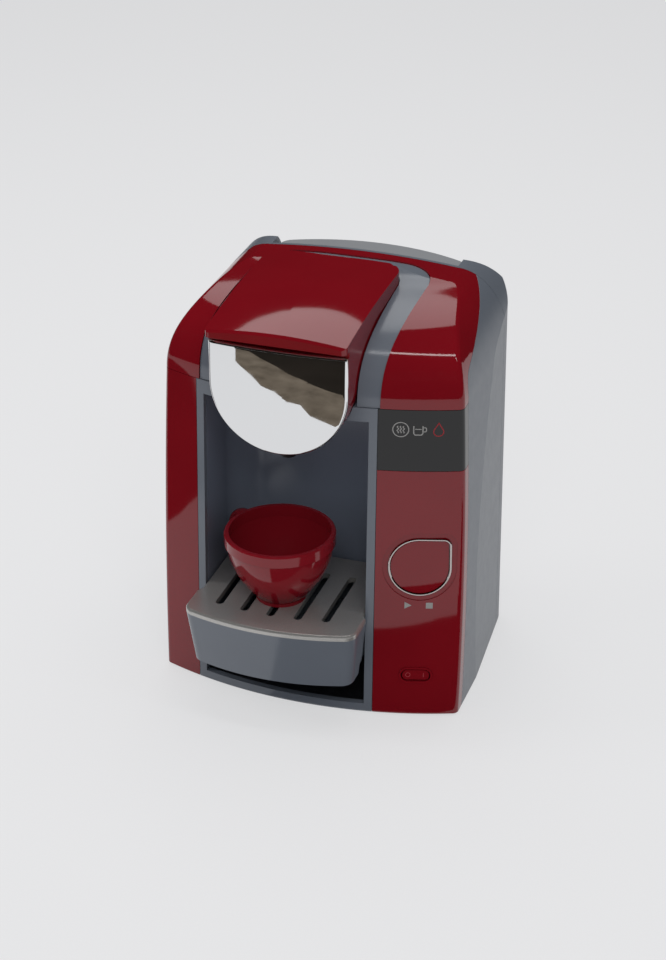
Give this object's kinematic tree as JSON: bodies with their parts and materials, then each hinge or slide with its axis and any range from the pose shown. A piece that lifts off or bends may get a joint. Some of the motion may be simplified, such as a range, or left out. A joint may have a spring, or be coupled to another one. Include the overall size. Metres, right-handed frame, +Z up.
{
  "type": "toy coffee maker",
  "caption": "Toy capsule coffee maker with a hinged brew-head lid, push button, rocker switch, height-adjustable cup tray, cup and lift-out water tank.",
  "frame": {"origin": "centre of the overall footprint, on the table under the feet", "axes": "+Z up, -Y towards the user at the front, +X to the right of the machine seen from the front"},
  "size_m": [0.1872, 0.1854, 0.2505],
  "materials": {
    "red_abs": "glossy injection-moulded ABS, dark metallic red",
    "blue_grey_abs": "satin injection-moulded ABS, blue-grey",
    "dark_grey_abs": "satin injection-moulded ABS, dark grey",
    "black_gloss": "gloss black polycarbonate",
    "black_abs": "matte black ABS",
    "silver_paint": "silver-painted ABS",
    "chrome_plating": "vacuum-chromed ABS, mirror finish",
    "rubber": "black elastomer",
    "grey_silicone": "grey silicone rubber",
    "steel": "zinc-plated steel",
    "cell_case": "printed steel battery case",
    "circuit_board": "glass-epoxy laminate, green mask",
    "paper": "black paper cone",
    "foil": "printed foil film",
    "wire_insulation": "PVC wire insulation",
    "led_lens": "milky polycarbonate",
    "smoke_clear": "smoke-tinted clear polycarbonate",
    "pale_grey": "pale grey ABS"
  },
  "bodies": {
    "housing": {"left_pillar": "red_abs", "control_panel": "red_abs", "upper_housing": "red_abs", "side_panel_left": "blue_grey_abs", "side_panel_right": "blue_grey_abs", "rear_cover": "blue_grey_abs", "base_plate": "dark_grey_abs", "rubber_feet": "rubber", "housing_screws": "steel", "alcove_bezel": "blue_grey_abs", "alcove_liner": "dark_grey_abs", "roof_band": "blue_grey_abs", "brew_head_housing": "red_abs", "chrome_front": "chrome_plating", "disc_holder": "black_abs", "spout_nozzle": "black_abs", "drink_disc": "black_abs", "disc_film": "foil", "lid_hinge_pin": "steel", "display_panel": "black_gloss", "button_ring": "silver_paint", "switch_dome": "grey_silicone", "switch_bezel": "red_abs", "switch_module": "black_abs", "circuit_board": "circuit_board", "wiring": "wire_insulation", "sound_chip": "black_abs", "indicator_leds": "led_lens", "battery_box": "dark_grey_abs", "battery_cells": "cell_case", "battery_contacts": "steel", "battery_door": "dark_grey_abs", "battery_door_screw": "steel", "speaker_frame": "steel", "speaker_cone": "paper", "inlet_seal": "rubber"},
    "lid": {"lid_shell": "red_abs", "lid_liner": "dark_grey_abs", "disc_press_ring": "grey_silicone"},
    "start_button": {"start_button": "red_abs"},
    "power_rocker": {"power_rocker": "red_abs"},
    "tray": {"tray_body": "blue_grey_abs", "tray_grate": "silver_paint"},
    "cup": {"cup": "red_abs"},
    "tank": {"water_tank": "smoke_clear", "tank_valve": "pale_grey", "tank_hinge_pin": "steel"},
    "tank_lid": {"tank_lid": "pale_grey"}
  },
  "joints": [
    {"name": "lid_hinge", "type": "hinge", "parent": "housing", "child": "lid", "pos_m": [-0.0102, 0.03325, 0.2439], "axis": [-1, 0, 0], "range_deg": [0, 65]},
    {"name": "button_press", "type": "slide", "parent": "housing", "child": "start_button", "axis": [-0.2827, 0.9576, -0.0555], "range_m": [0, 0.002], "stiffness_N_per_m": 900},
    {"name": "rocker_tilt", "type": "hinge", "parent": "housing", "child": "power_rocker", "pos_m": [0.06776, -0.04867, 0.02725], "axis": [-0.0153, 0.0533, 0.9985], "range_deg": [-7, 7]},
    {"name": "tray_height", "type": "slide", "parent": "housing", "child": "tray", "axis": [0, 0, 1], "range_m": [-0.028, 0]},
    {"name": "cup_lift_out", "type": "slide", "parent": "tray", "child": "cup", "axis": [0, -1, 0], "range_m": [0, 0.1]},
    {"name": "tank_lift", "type": "slide", "parent": "housing", "child": "tank", "axis": [0, 0, 1], "range_m": [0, 0.215]},
    {"name": "tank_lid_hinge", "type": "hinge", "parent": "tank", "child": "tank_lid", "pos_m": [0, 0.06395, 0.2367], "axis": [1, 0, 0], "range_deg": [0, 75]}
  ]
}
